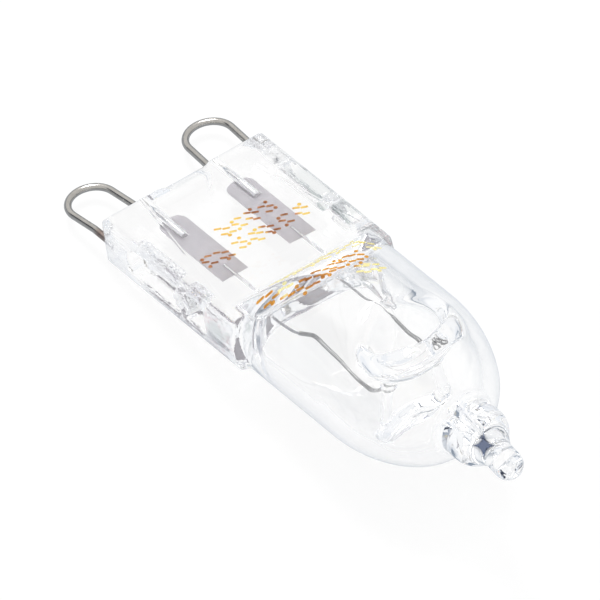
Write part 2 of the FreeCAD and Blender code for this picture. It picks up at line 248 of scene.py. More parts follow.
def ball(name, radius, centre):
    """Ball with its poles along X."""
    bpy.ops.mesh.primitive_uv_sphere_add(segments=64, ring_count=32, radius=radius,
                                         rotation=(0, math.pi / 2, 0))
    piece = settle(named(name))
    piece.location = centre
    return settle(piece)


def nothing_picked(piece, kind="EDGE"):
    """Clears what is selected in a piece's mesh, and sets whether corners or edges are picked."""
    only(piece)
    bpy.ops.object.mode_set(mode="EDIT")
    bpy.ops.mesh.select_mode(type=kind)
    bpy.ops.mesh.select_all(action="DESELECT")
    bpy.ops.object.mode_set(mode="OBJECT")
    return piece


def pick_edges(piece, test):
    """Selects the edges whose middle and direction pass the test, and stays in edit mode."""
    nothing_picked(piece)
    corners = piece.data.vertices
    for edge in piece.data.edges:
        a, b = (corners[i].co for i in edge.vertices)
        edge.select = test((a + b) / 2, (b - a).normalized())
    bpy.ops.object.mode_set(mode="EDIT")


def round_edges(piece, offset, test, segments):
    pick_edges(piece, test)
    bpy.ops.mesh.bevel(offset=offset, segments=segments, profile=0.5, clamp_overlap=True)
    bpy.ops.object.mode_set(mode="OBJECT")
    return piece


def slice_off(piece, point, normal):
    """Cuts away what lies on the normal's side of a plane, and closes the cut."""
    return on_whole_mesh(piece, bpy.ops.mesh.bisect, plane_co=point, plane_no=normal, use_fill=True,
                         clear_outer=True)


def combine(piece, tool, how):
    """Joins, cuts or intersects a piece with a tool, and throws the tool away."""
    only(piece)
    cut = piece.modifiers.new(how.lower(), "BOOLEAN")
    cut.operation = how
    cut.solver = "EXACT"
    cut.object = tool
    bpy.ops.object.modifier_apply(modifier=cut.name)
    bpy.data.objects.remove(tool)
    return piece


def runs_along(direction, axis):
    return abs(direction[axis]) > PARALLEL


# Quartz

def round_end(name, start):
    """Long block whose contact end is fully round as the pinch is seen from its side."""
    reach = PINCH_HALF_WIDTH + BEYOND
    made = block(name, (start, -reach, -HALF_THICKNESS), (PINCH_LENGTH, reach, HALF_THICKNESS))
    return round_edges(made, END_ROUND, lambda m, d: runs_along(d, ACROSS) and m.x < start + NEAR, 16)


def pinch():
    """Six-sided pressed pinch with a round contact end and its web set back between two rails."""
    half, width, length = HALF_THICKNESS, PINCH_HALF_WIDTH, PINCH_LENGTH
    across = block("pinch", (0, -width, -half), (length, width, half))
    lean = math.cos(SIDE_DRAFT), math.sin(SIDE_DRAFT)
    for side in (LEFT, RIGHT):
        for up in (UP, DOWN):
            slice_off(across, (0, side * width, 0), (0, side * lean[0], up * lean[1]))
    round_edges(across, FACE_EDGE, lambda m, d: runs_along(d, ALONG) and abs(m.z) > half - NEAR, 6)
    side_view = round_end("side_view", 0)
    flat = Vector((half, 0, 0)) + (half - END_FLAT) * END_FACING
    slice_off(side_view, flat, END_FACING)
    high = half + BEYOND
    plan = block("plan", (0, -width, -high), (length, width, high))
    round_edges(plan, END_CORNER, lambda m, d: runs_along(d, THROUGH) and m.x < NEAR, 12)
    round_edges(plan, NECK_CORNER, lambda m, d: runs_along(d, THROUGH) and m.x > length - NEAR, 8)
    combine(across, side_view, "INTERSECT")
    combine(across, plan, "INTERSECT")
    web = block("web", (-2 * BEYOND, -width, -high), (WEB_SETBACK + half, width, high))
    for side in (LEFT, RIGHT):
        slice_off(web, (WEB_SETBACK, side * WEB_HALF_WIDTH, 0), (WEB_FLANK, side, 0))
    combine(web, round_end("web_end", WEB_SETBACK), "DIFFERENCE")
    return combine(across, web, "DIFFERENCE")


def shoulders(start, end, slope_start, throat, round_radius=0):
    """What lies between the two sloped shoulders, as a block across the lamp."""
    width, height = BULB_RADIUS + BEYOND, BULB_RADIUS + CREST_SPARE
    between = block("between", (start, -width, -height), (end, width, height))
    for up in (UP, DOWN):
        slice_off(between, (slope_start, 0, up * throat),
                  (-math.sin(SHOULDER_SLOPE), 0, up * math.cos(SHOULDER_SLOPE)))
    crest = slope_start + (height - throat) / math.tan(SHOULDER_SLOPE)

    def at_crest(middle, direction):
        near = abs(middle.x - crest) < CREST_NEAR and abs(middle.z) > height - CREST_NEAR
        return near and runs_along(direction, ACROSS)

    if round_radius:
        round_edges(between, round_radius * math.tan(SHOULDER_SLOPE / 2), at_crest, 16)
    return between


def press_wheel(height, width, wall):
    """Wheel-shaped jaw, or with a wall the glass that it pushed in: a round rim that thickens to its axis.
    The width resizes it across the lamp."""
    nose = WHEEL_NOSE + wall
    bpy.ops.mesh.primitive_torus_add(major_radius=WHEEL_RADIUS - WHEEL_NOSE, minor_radius=nose,
                                     major_segments=96, minor_segments=32, location=(BRIDGE_X, 0, height),
                                     rotation=(0, math.pi / 2, 0))
    wheel = settle(named("wheel"))
    apex = WHEEL_RADIUS + wall + nose * (1 / math.sin(WHEEL_FLANK) - 1)
    reach = apex * math.tan(WHEEL_FLANK)
    hub = rod("hub", WHEEL_HUB_RADIUS, (BRIDGE_X - reach, 0, height), (BRIDGE_X + reach, 0, height), 8)
    on_whole_mesh(join(wheel, [hub]), bpy.ops.mesh.convex_hull)
    wheel.scale = (1, width, 1)
    return settle(wheel)


def post(side):
    """One of the two glass posts under the bridge: a bar and the flares at its ends."""
    top = Vector((BRIDGE_X, side * POST_TOP[0], POST_TOP[1]))
    foot = Vector((BRIDGE_X, side * POST_FOOT[0], POST_FOOT[1]))
    flare = (top - foot).normalized() * POST_FLARE
    wide = POST_RADIUS + POST_FLARE
    return [rod("post", POST_RADIUS, foot - flare, top + flare, POST_SIDES),
            rod("flare", POST_RADIUS, top - flare, top, POST_SIDES, wide),
            rod("flare", wide, foot, foot + flare, POST_SIDES, POST_RADIUS)]


def gas_space():
    """The sealed room in the bulb, less the bridge and its posts, and the narrow bore towards the tip."""
    bore = BULB_RADIUS - BULB_WALL
    corner = bow(CAVITY_START + CAVITY_CORNER, bore - CAVITY_CORNER, CAVITY_CORNER, math.pi, math.pi / 2,
                 CORNER_STEPS)
    far_end = dome(DOME_START, DOME_LENGTH - DOME_WALL, bore, DOME_SIDE - BULB_WALL)
    space = lathe("gas_space", corner + far_end)
    combine(space, shoulders(CAVITY_START - BEYOND, DOME_END, CAVITY_START, CAVITY_THROAT), "INTERSECT")
    for height, width in WHEELS:
        combine(space, press_wheel(height, width, RIDGE_WALL), "DIFFERENCE")
    for side in (LEFT, RIGHT):
        for bar in post(side):
            combine(space, bar, "DIFFERENCE")
    return combine(space, rod("bore", BORE_RADIUS, (BORE_START, 0, 0), (BORE_END, 0, 0), 32, BORE_END_RADIUS),
                   "UNION")


def side_pocket(side):
    """Pocket in one side of the pinch, with a dished boss left standing in it."""
    low, high = sorted((side * POCKET_FLOOR, side * (PINCH_HALF_WIDTH + BEYOND)))
    pocket = block("pocket", (POCKET_START, low, -POCKET_HALF_HEIGHT), (POCKET_END, high, POCKET_HALF_HEIGHT))
    round_edges(pocket, POCKET_CORNER, lambda m, d: runs_along(d, ACROSS), 8)
    boss = rod("boss", BOSS_RADIUS, (BOSS_CENTRE, side * (POCKET_FLOOR - BOSS_SINK), 0),
               (BOSS_CENTRE, side * BOSS_TOP, 0))
    combine(boss, ball("dish", DISH_RADIUS, (BOSS_CENTRE, side * (BOSS_TOP + DISH_RISE), 0)), "DIFFERENCE")
    return combine(pocket, boss, "DIFFERENCE")


def side_pit(side):
    """Pit with a ball-shaped floor, in one side of the pinch between its pocket and the bulb."""
    centre = (PIT_CENTRE, side * (PIT_FLOOR + PIT_RADIUS), 0)
    pit = rod("pit", PIT_RADIUS, centre, (PIT_CENTRE, side * PIT_MOUTH, 0))
    return combine(pit, ball("pit_floor", PIT_RADIUS, centre), "UNION")


def outside():
    """The outer form of the glass: pinch, bulb and tip, less the marks of the press."""
    glass = pinch()
    bulb = lathe("bulb", [(BULB_START, BULB_RADIUS)] + dome(DOME_START, DOME_LENGTH, BULB_RADIUS, DOME_SIDE))
    combine(bulb, shoulders(BULB_START - BEYOND, DOME_END + BEYOND, SHOULDER_START, HALF_THICKNESS,
                            SHOULDER_ROUND), "INTERSECT")
    combine(glass, bulb, "UNION")
    combine(glass, lathe("collar", COLLAR_RINGS, 64), "UNION")
    lean = Vector((math.cos(NUB_LEAN), -math.sin(NUB_LEAN), 0))
    root = Vector((NUB_START, 0, 0))
    nub = rod("nub", NUB_RADIUS, root, root + lean * NUB_LENGTH)
    combine(nub, ball("nub_end", NUB_RADIUS, root + lean * NUB_LENGTH), "UNION")
    combine(nub, rod("nub_flare", NUB_ROOT_RADIUS, root, root + lean * NUB_FLARE, 48, NUB_RADIUS), "UNION")
    combine(glass, nub, "UNION")
    for height, width in WHEELS:
        combine(glass, press_wheel(height, width, 0), "DIFFERENCE")
    for side in (LEFT, RIGHT):
        combine(glass, side_pocket(side), "DIFFERENCE")
        combine(glass, side_pit(side), "DIFFERENCE")
    return glass


def smooth(piece, passes, group=""):
    """Smooths a piece's mesh, or the part of it that a vertex group marks."""
    only(piece)
    soft = piece.modifiers.new("soft", "SMOOTH")
    soft.factor = SMOOTHING
    soft.iterations = passes
    soft.vertex_group = group
    bpy.ops.object.modifier_apply(modifier=soft.name)
    return piece


def melt(piece):
    """Gives the glass one even skin with softened edges."""
    only(piece)
    skin = piece.modifiers.new("skin", "REMESH")
    skin.mode = "VOXEL"
    skin.voxel_size = GLASS_GRAIN
    bpy.ops.object.modifier_apply(modifier=skin.name)
    return smooth(piece, SKIN_PASSES)


def soften_rims(piece, height, passes):
    """Rounds off the rims that the bridge jaws leave beyond a height, on the upper and the lower side."""
    rims = piece.vertex_groups.new(name="rims")
    for corner in piece.data.vertices:
        x, _, z = corner.co
        along = min(x - RIM_START, RIM_END - x) / RIM_FADE_ALONG
        out = (abs(z) - height) / RIM_FADE_UP
        if along > 0 and out > 0:
            rims.add([corner.index], min(1, along, out), "REPLACE")
    return smooth(piece, passes, rims.name)


def turn_inside_out(piece):
    return on_whole_mesh(piece, bpy.ops.mesh.flip_normals)


def join(piece, others):
    only(piece)
    for other in others:
        other.select_set(True)
    bpy.ops.object.join()
    return piece


def lay_down(piece, name):
    """Names a finished piece, smooths it and brings it from the lamp's axes to its place on the table."""
    only(piece)
    piece.name = name
    piece.data.name = name
    bpy.ops.object.shade_smooth()
    piece.data.transform(PLACE)
    return piece


def wire_room(side):
    """Thin room round a loop's two legs and its lead, where the glass did not wet the wire."""
    rooms = []
    for radius, y, z, start, end, sides in (
            (LOOP_RADIUS, INNER_LEG, 0, INNER_ROOM_START, INNER_LEG_END + WIRE_GAP, 24),
            (LOOP_RADIUS, OUTER_LEG, 0, OUTER_ROOM_START, OUTER_LEG_END + WIRE_GAP, 24),
            (LEAD_RADIUS, LEAD_Y, LEAD_Z, LEAD_ROOM_START, LEAD_ROOM_END, 16)):
        room = rod("room", radius + WIRE_GAP, (start, side * y, z), (end, side * y, z), sides)
        rooms.append(turn_inside_out(room))
    return rooms


glass = soften_rims(melt(outside()), OUTER_RIM_HEIGHT, OUTER_RIM_PASSES)
inner = turn_inside_out(soften_rims(melt(gas_space()), INNER_RIM_HEIGHT, INNER_RIM_PASSES))
join(glass, [inner] + wire_room(LEFT) + wire_room(RIGHT))
lay_down(glass, "quartz_glass")
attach(glass, "root")
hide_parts("quartz_envelope")


def coil():
    """Fine wire wound in close turns and then bent along its route."""
    bpy.ops.mesh.primitive_circle_add(vertices=COIL_WIRE_SIDES, radius=COIL_WIRE_RADIUS,
                                      location=(COIL_RADIUS - COIL_WIRE_RADIUS, 0, 0),
                                      rotation=(math.pi / 2, 0, 0))
    winding = settle(named("coil"))
    route = coil_route()
    length = sum(spline.calc_length() for spline in route.data.splines)
    turns = winding.modifiers.new("turns", "SCREW")
    turns.axis = "Z"
    turns.angle = math.tau
    turns.screw_offset = COIL_PITCH
    turns.iterations = int(length / COIL_PITCH)
    turns.steps = turns.render_steps = COIL_TURN_STEPS
    turns.use_merge_vertices = True
    only(winding)
    bpy.ops.object.modifier_apply(modifier=turns.name)
    bpy.ops.object.mode_set(mode="EDIT")
    bpy.ops.mesh.select_all(action="DESELECT")
    bpy.ops.mesh.select_non_manifold()
    bpy.ops.mesh.edge_face_add()
    bpy.ops.mesh.select_all(action="SELECT")
    bpy.ops.mesh.normals_make_consistent(inside=False)
    bpy.ops.object.mode_set(mode="OBJECT")
    winding.rotation_euler = (0, math.pi / 2, 0)
    settle(winding)
    follow = winding.modifiers.new("follow", "CURVE")
    follow.object = route
    follow.deform_axis = "POS_X"
    bpy.ops.object.modifier_apply(modifier=follow.name)
    bpy.data.objects.remove(route)
    return winding


def coil_route():
    """Middle line of the coil, from its left end past the posts to its right end."""
    bpy.ops.mesh.primitive_plane_add(size=1)
    line = nothing_picked(named("route"), "VERT")
    for corner in line.data.vertices[1:]:
        corner.select = True
    bpy.ops.object.mode_set(mode="EDIT")
    bpy.ops.mesh.delete(type="VERT")
    bpy.ops.mesh.select_all(action="SELECT")
    bpy.ops.transform.translate(value=Vector(COIL_ROUTE[0]) - line.data.vertices[0].co)
    for start, end in zip(COIL_ROUTE, COIL_ROUTE[1:]):
        bpy.ops.mesh.extrude_region_move(TRANSFORM_OT_translate={"value": Vector(end) - Vector(start)})
    bpy.ops.object.mode_set(mode="OBJECT")
    for place, bend in zip(COIL_ROUTE, COIL_BENDS):
        if bend:
            round_corner(line, Vector(place), bend)
    bpy.ops.object.convert(target="CURVE")
    return bpy.context.active_object


def round_corner(line, place, radius):
    """Takes the corner nearest to a place off a line, with a bend of the given radius."""
    nothing_picked(line, "VERT")
    corners = line.data.vertices
    corner = min(corners, key=lambda c: (c.co - place).length)
    corner.select = True
    arms = []
    for edge in line.data.edges:
        if corner.index in edge.vertices:
            other = sum(edge.vertices) - corner.index
            arms.append((corners[other].co - corner.co).normalized())
    reach = radius / math.tan(arms[0].angle(arms[1]) / 2)
    bpy.ops.object.mode_set(mode="EDIT")
    bpy.ops.mesh.bevel(offset=reach, segments=8, affect="VERTICES", clamp_overlap=False)
    bpy.ops.object.mode_set(mode="OBJECT")


winding = lay_down(coil(), "tungsten_coil")
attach(winding, "root")
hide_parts("filament")

# Print: small groups of dashes and dots in two rows on the pinch and three on the bulb
DASH, STROKE, DOT = 0.25, 0.09, 0.14
DASH_CORNER = 0.8 * STROKE
PRINT_GROUPS = [
    [(-0.42, -0.3, 62), (-0.1, 0.15, 66), (0.3, -0.25, 60), (0.45, 0.3, 64)],
    [(-0.45, 0.2, 64), (-0.05, -0.25, 60), (0.38, 0.15, 66)],
    [(-0.4, -0.1, 60), (-0.1, 0.33, 64), (0.15, -0.3, 62), (0.5, 0.05, 66)],
    [(-0.3, -0.28, 66), (0.0, 0.2, 62), (0.42, -0.15, 60)]]
PRINT_DOTS = [[(0.6, -0.05)], [(-0.4, -0.28), (0.5, -0.28)], [(-0.55, 0.25)], [(-0.5, 0.2), (0.4, 0.36)]]
PRINT_PLACES = [(9.15, -1.35, 0), (9.2, -0.3, 1), (9.15, 0.75, 2), (9.2, 1.95, 3),
                (10.9, -3.85, 1), (11.0, -2.75, 0), (10.9, -1.35, 3), (11.0, -0.2, 2), (10.95, 0.85, 0),
                (11.0, 2.1, 1), (10.95, 3.35, 2),
                (17.2, -2.9, 3), (17.4, -1.9, 1), (17.6, -0.9, 0), (17.8, 0.1, 2), (17.95, 1.1, 1),
                (18.4, 2.1, 3), (19.2, 2.8, 0),
                (17.9, -4.25, 0), (18.8, -3.45, 2), (19.6, -2.65, 1), (19.7, -1.9, 3), (19.7, -1.1, 0),
                (19.8, -0.3, 2), (19.9, 0.5, 1), (20.0, 1.3, 3),
                (21.3, 0.7, 2), (21.5, 1.5, 0)]
PRINT_DEPTH = 0.015


def flat_dash(place, turn):
    """Dash with round corners, turned by degrees from the X axis."""
    bpy.ops.mesh.primitive_plane_add(size=2, location=place, rotation=(0, 0, math.radians(turn)))
    bpy.context.active_object.scale = (DASH, STROKE, 1)
    mark = settle(named("mark"))
    bpy.ops.object.mode_set(mode="EDIT")
    bpy.ops.mesh.select_mode(type="VERT")
    bpy.ops.mesh.select_all(action="SELECT")
    bpy.ops.mesh.bevel(offset=DASH_CORNER, segments=3, affect="VERTICES")
    bpy.ops.object.mode_set(mode="OBJECT")
    return mark


def flat_dot(place):
    bpy.ops.mesh.primitive_circle_add(vertices=12, radius=DOT, location=place, fill_type="NGON")
    return settle(named("mark"))


def printing(under):
    """Ink marks laid onto the upper side of the glass."""
    above = BULB_RADIUS + BEYOND
    marks = []
    for x, y, kind in PRINT_PLACES:
        marks += [flat_dash((x + dx, y + dy, above), turn) for dx, dy, turn in PRINT_GROUPS[kind]]
        marks += [flat_dot((x + dx, y + dy, above)) for dx, dy in PRINT_DOTS[kind]]
    ink = join(marks[0], marks[1:])
    ink.data.transform(PLACE)
    onto = ink.modifiers.new("onto", "SHRINKWRAP")
    onto.wrap_method = "PROJECT"
    onto.target = under
    onto.use_project_z = True
    onto.use_positive_direction = False
    onto.use_negative_direction = True
    onto.offset = PRINT_DEPTH * METRES
    bpy.ops.object.modifier_apply(modifier=onto.name)
    film = ink.modifiers.new("film", "SOLIDIFY")
    film.thickness = PRINT_DEPTH * METRES
    film.offset = 1
    bpy.ops.object.modifier_apply(modifier=film.name)
    return ink


ink = printing(glass)
ink.name = ink.data.name = "printed_marks"
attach(ink, "root")

# Finishes

class Value:
    """A node's output. Arithmetic on values adds the Math nodes."""

    def __init__(self, finish, socket):
        self.finish = finish
        self.socket = socket

    def math(self, operation, *others):
        return self.finish.node("ShaderNodeMath", {"operation": operation},
                                dict(enumerate((self,) + others)))

    def __add__(self, other):
        return self.math("ADD", other)

    def __sub__(self, other):
        return self.math("SUBTRACT", other)

    def __rsub__(self, other):
        return self.finish.node("ShaderNodeMath", {"operation": "SUBTRACT"}, {0: other, 1: self})

    def __mul__(self, other):
        return self.math("MULTIPLY", other)

    def __truediv__(self, other):
        return self.math("DIVIDE", other)

    def __pow__(self, other):
        return self.math("POWER", other)

    def __abs__(self):
        return self.math("ABSOLUTE")

    def clip(self):
        return self.finish.node("ShaderNodeClamp", {}, {"Value": self})

    def ramp(self, low, high):
        """0 below low, 1 above high, and an even slope between."""
        return ((self - low) / (high - low)).clip()

    def below(self, low, high):
        """1 below low, 0 above high, and an even slope between."""
        return 1 - self.ramp(low, high)

    def between(self, rise, fall):
        """1 from the end of its rise to the start of its fall, and 0 outside both."""
        return self.ramp(*rise) * self.below(*fall)


class Finish:
    """The node tree of a material or of the world."""

    def __init__(self, owner):
        owner.use_nodes = True
        self.owner = owner
        self.tree = owner.node_tree

    def node(self, kind, settings, sockets, out=0):
        made = self.tree.nodes.new(kind)
        for key, value in settings.items():
            setattr(made, key, value)
        for key, value in sockets.items():
            self.set(made.inputs[key], value)
        return Value(self, made.outputs[out])

    def set(self, socket, value):
        if isinstance(value, Value):
            self.tree.links.new(value.socket, socket)
        else:
            socket.default_value = value

    def ray(self, name):
        """What is known of the ray that looks at the surface."""
        return self.node("ShaderNodeLightPath", {}, {}, name)

    def surface(self, sockets):
        """Sets the plain shader of a material, and returns it."""
        shader = self.tree.nodes["Principled BSDF"]
        for key, value in sockets.items():
            self.set(shader.inputs[key], value)
        return Value(self, shader.outputs[0])

    def show(self, factor, shader, other):
        """Shows one shader, and as much of the other as the factor says."""
        both = self.node("ShaderNodeMixShader", {}, {0: factor, 1: shader, 2: other})
        self.set(self.tree.nodes["Material Output"].inputs[0], both)

    def place(self):
        """Object coordinates brought back to the lamp's own axes, in millimetres."""
        point = self.node("ShaderNodeTexCoord", {}, {}, "Object")
        return self.node("ShaderNodeMapping", {"vector_type": "POINT"},
                         {"Vector": point, "Scale": (1 / METRES,) * 3, "Rotation": (0, TILT, 0),
                          "Location": HOME})

    def axes(self, point):
        made = self.tree.nodes.new("ShaderNodeSeparateXYZ")
        self.tree.links.new(point.socket, made.inputs[0])
        return [Value(self, output) for output in made.outputs]

    def noise(self, point, scale, detail=2.0, rough=0.5, stretch=(1, 1, 1)):
        spread = self.node("ShaderNodeMapping", {}, {"Vector": point, "Scale": stretch})
        return self.node("ShaderNodeTexNoise", {}, {"Vector": spread, "Scale": scale, "Detail": detail,
                                                    "Roughness": rough})

    def blend(self, factor, low, high):
        """Colour that goes from low to high."""
        made = self.tree.nodes.new("ShaderNodeMix")
        made.data_type = "RGBA"
        for socket, value in ((made.inputs[0], factor), (made.inputs[6], low), (made.inputs[7], high)):
            self.set(socket, value)
        return Value(self, made.outputs[2])

    def bump(self, height, strength, distance):
        return self.node("ShaderNodeBump", {}, {"Height": height, "Strength": strength, "Distance": distance})


# A Mapping node scales, turns and then moves, so the move is the lamp's rest taken back through the turn.
HOME = Matrix.Rotation(TILT, 3, "Y") @ -REST

WHITE = (1, 1, 1, 1)

# Quartz: heights of its relief, its tones with their painted shades and painted dark reflection, and how long
# light stays in it
QUARTZ_INDEX = 1.458
RIPPLE, SWAY, CREASE, RAIL_LINE = 0.05, 0.05, 0.12, 0.05
RAIL_LINE_START, RAIL_LINE_SLOPE, RAIL_LINE_WIDTH = 3.2, 0.165, 0.09
RELIEF_DEPTH = 0.0004
# Painted shade: the grey-blue of the bands where the bulb's wall is seen edge on
EDGE_ON_SHADE_TONE = (0.36, 0.43, 0.50, 1)
# Painted shade: the grey-green of the side pockets' floors and roofs and of the pits
POCKET_SHADE_TONE = (0.40, 0.46, 0.46, 1)
FRINGE_TONE = (0.55, 0.24, 0.28, 1)
# Painted dark reflection in the tip: its near-black tone, its centre and its size
TIP_REFLECTION_TONE = (0.02, 0.03, 0.07, 1)
TIP_REFLECTION_CENTRE = (35.2, -0.85, 0.85)
TIP_REFLECTION_LENGTH, TIP_REFLECTION_HEIGHT = 1.3, 1.7
TURNS_INSIDE = (2.5, 2.6)
PASSES_INSIDE = (8.5, 8.6)
WEAKENED = (0.95, 0.96, 0.975, 1)

# Pairs of tones that the other finishes drift between
GOLD = (0.80, 0.50, 0.10, 1), (0.92, 0.74, 0.22, 1)
PALE = (0.90, 0.78, 0.30, 1), (0.97, 0.93, 0.62, 1)
ORANGE = (0.62, 0.27, 0.04, 1), (0.85, 0.46, 0.10, 1)
BROWN = (0.36, 0.13, 0.05, 1), (0.66, 0.34, 0.16, 1)
DULL_WIRE = (0.36, 0.345, 0.32, 1), (0.56, 0.54, 0.51, 1)
FOIL = (0.58, 0.56, 0.595, 1), (0.68, 0.655, 0.69, 1)
TUNGSTEN = (0.42, 0.42, 0.43, 1), (0.58, 0.58, 0.59, 1)
TABLE = (0.94, 0.94, 0.94, 1), (0.95, 0.95, 0.95, 1)

SEALED_WIRE = (0.86, 0.86, 0.87, 1)
BROWNED_WIRE = (0.16, 0.09, 0.06, 1)
SEALED_LEAD = (0.9, 0.9, 0.91, 1)


def new_finish(name):
    return Finish(bpy.data.materials.new(name))


def relief(finish, point):
    """Ripples that pressing leaves in the pinch, creases in its sides and a fine line along each rail."""
    x, y, z = finish.axes(point)
    outward = abs(y)
    in_pinch = x.below(12.5, 15.5)
    ripple = finish.noise(point, 1.0, 2.0, 0.55, (1.6, 0.22, 0.5)) * in_pinch
    sway = finish.noise(point, 0.35, 1.0, 0.4)
    crease = finish.noise(point, 1.0, 2.0, 0.6, (0.8, 2.0, 6.0)) * in_pinch * outward.ramp(4.6, 5.1)
    edge = x * RAIL_LINE_SLOPE + RAIL_LINE_START
    line = (1 - abs(outward - edge) / RAIL_LINE_WIDTH).clip()
    line = line * in_pinch * z.ramp(1.9, 2.1) * x.ramp(1.0, 2.5)
    return ripple * RIPPLE + sway * SWAY + crease * CREASE + line * RAIL_LINE


def painted_edge_on_shade(finish, point):
    """Painted shade: faint grey-blue bands where the bulb's wall is seen edge on, wide and mottled at the
    right, else narrow.
    """
    x, y, _ = finish.axes(point)
    edge_on = finish.node("ShaderNodeLayerWeight", {}, {"Blend": 0.5}, "Facing")
    mottle = finish.noise(point, 1.3, 2.0, 0.6).ramp(0.38, 0.6)
    at_right = y.ramp(0.5, 4.0)
    wide_band = edge_on.ramp(0.3, 0.8) * at_right * (mottle * 0.22 + 0.16)
    inner_band = edge_on.between((0.24, 0.34), (0.46, 0.6)) * (1 - at_right) * 0.09
    return (wide_band + inner_band) * x.between((15.5, 17.5), (31.5, 33.0))


def from_pit(x, z):
    return ((x - PIT_CENTRE) ** 2 + z ** 2).math("SQRT")


def painted_pocket_shade(x, y, z):
    """Painted shade on the floors and roofs of the side pockets, deeper at the right, and in the pits."""
    outward, upward = abs(y), abs(z)
    at_right = y.ramp(4.0, 4.5)
    floor = outward.between((4.8, 5.0), (5.4, 5.6)) * upward.below(1.0, 1.2)
    floor = floor * x.between((5.5, 7.5), (12.4, 12.8)) * (at_right * 0.5 + 0.25)
    roof = outward.between((5.1, 5.3), (6.0, 6.3)) * upward.between((0.95, 1.1), (1.3, 1.5))
    roof = roof * x.between((5.0, 6.5), (12.0, 12.6)) * at_right * 0.45
    pit = outward.ramp(5.0, 5.2) * from_pit(x, z).below(0.9, 1.1) * 0.55
    return (floor + roof + pit).clip()


def pit_fringe(finish, point):
    """Speckled ring round each pit."""
    x, y, z = finish.axes(point)
    speck = finish.noise(point, 3.5, 2.0, 0.6).ramp(0.5, 0.6)
    return abs(y).ramp(5.0, 5.2) * from_pit(x, z).between((0.7, 0.9), (1.5, 1.9)) * speck * 0.5


def painted_tip_reflection(x, y, z):
    """Painted dark reflection: a four-pointed star on the upper side of the sealed tip, laid out across the
    camera's view.
    """
    dx, dy, dz = (axis - centre for axis, centre in zip((x, y, z), TIP_REFLECTION_CENTRE))
    aside = abs(dx * 0.72 + dy - dz * 0.14) / TIP_REFLECTION_LENGTH
    down = abs(dx * 0.62 - dy * 0.60 - dz) / TIP_REFLECTION_HEIGHT
    star = aside.math("SQRT") + down.math("SQRT")
    return star.below(0.85, 1.15) * abs(dy).below(1.3, 1.5) * z.ramp(-0.1, 0.0)


def quartz_finish():
    """Clear quartz with the relief that the press leaves, a speckled ring round each pit, painted shade in
    the pockets, the pits and the edge-on wall bands, and a painted dark reflection in the tip. Light that has
    been turned back inside the glass many times is let out, so that no corner of it goes black."""
    finish = new_finish("clear_quartz")
    point = finish.place()
    axes = finish.axes(point)
    # Painted shade in the edge-on wall bands, the pockets and the pits, and a painted dark reflection in the
    # tip
    colour = finish.blend(painted_edge_on_shade(finish, point), WHITE, EDGE_ON_SHADE_TONE)
    colour = finish.blend(painted_pocket_shade(*axes), colour, POCKET_SHADE_TONE)
    colour = finish.blend(pit_fringe(finish, point), colour, FRINGE_TONE)
    colour = finish.blend(painted_tip_reflection(*axes), colour, TIP_REFLECTION_TONE)
    quartz = finish.surface({"Base Color": colour, "Roughness": 0.0, "IOR": QUARTZ_INDEX,
                             "Transmission Weight": 1.0,
                             "Normal": finish.bump(relief(finish, point), 1.0, RELIEF_DEPTH)})
    trapped = finish.ray("Glossy Depth").ramp(*TURNS_INSIDE) + finish.ray("Ray Depth").ramp(*PASSES_INSIDE)
    way_out = finish.node("ShaderNodeBsdfTransparent", {}, {"Color": WEAKENED})
    finish.show(trapped.clip(), quartz, way_out)
    return finish.owner


def ink_finish():
    """Thin baked ink that light comes through: gold on the clear pinch, orange on the bulb and pale yellow at
    its right and nearest to the pinch. Over the foils it is brown, painted shade where the foils keep back
    the light from behind, and a band within the orange row is browner too."""
    finish = new_finish("gold_ink")
    point = finish.place()
    x, y, _ = finish.axes(point)
    cloud = finish.noise(point, 1.6, 3.0, 0.65).ramp(0.35, 0.65)
    # Painted shade: brown ink where the foils behind it keep back the light
    foil_shade_on_ink = abs(y + 0.92).between((1.3, 1.5), (3.9, 4.1)) * x.below(12.4, 12.6)
    orange_row = (x.ramp(18.5, 18.7) + y.below(-3.9, -3.7)).clip() * x.ramp(15.0, 16.0)
    orange_row = orange_row * y.below(1.8, 2.0) * x.below(20.6, 20.8)
    # A band within the orange row turns browner
    brown_band = orange_row * abs(y + 2.0).below(0.2, 1.2)
    gold, pale, orange, brown = (finish.blend(cloud, *pair) for pair in (GOLD, PALE, ORANGE, BROWN))
    colour = finish.blend(x.ramp(15.0, 16.0), gold, pale)
    colour = finish.blend(orange_row, colour, orange)
    colour = finish.blend((foil_shade_on_ink + brown_band * 0.8).clip(), colour, brown)
    finish.surface({"Base Color": colour, "Roughness": 0.4, "IOR": 1.0, "Transmission Weight": 0.6})
    return finish.owner


def wire_finish():
    """Satin wire: dulled in the air, browned on one leg by the heat of sealing, and bright in the glass."""
    finish = new_finish("satin_wire")
    point = finish.place()
    x, y, _ = finish.axes(point)
    grain = finish.noise(point, 2.0, 2.0, 0.5)
    browned = x.between((0.1, 0.7), (1.3, 1.7)) * y.below(-5.9, -5.6)
    wire = finish.blend(x.ramp(0.5, 0.9), finish.blend(grain, *DULL_WIRE), SEALED_WIRE)
    colour = finish.blend(browned * 0.8, wire, BROWNED_WIRE)
    finish.surface({"Base Color": colour, "Metallic": 1.0, "Roughness": grain * 0.12 + 0.14 + browned * 0.15,
                    "Normal": finish.bump(grain, 0.1, 0.00001)})
    return finish.owner


def foil_finish():
    """Thin rolled foil, dull mauve-grey in its seal."""
    finish = new_finish("sealing_foil")
    point = finish.place()
    cloud = finish.noise(point, 1.3, 3.0, 0.6)
    speck = finish.noise(point, 9.0, 2.0, 0.5)
    finish.surface({"Base Color": finish.blend(cloud, *FOIL), "Metallic": 0.3,
                    "Roughness": cloud * 0.15 + 0.45,
                    "Normal": finish.bump(speck, 0.3, 0.00003)})
    return finish.owner


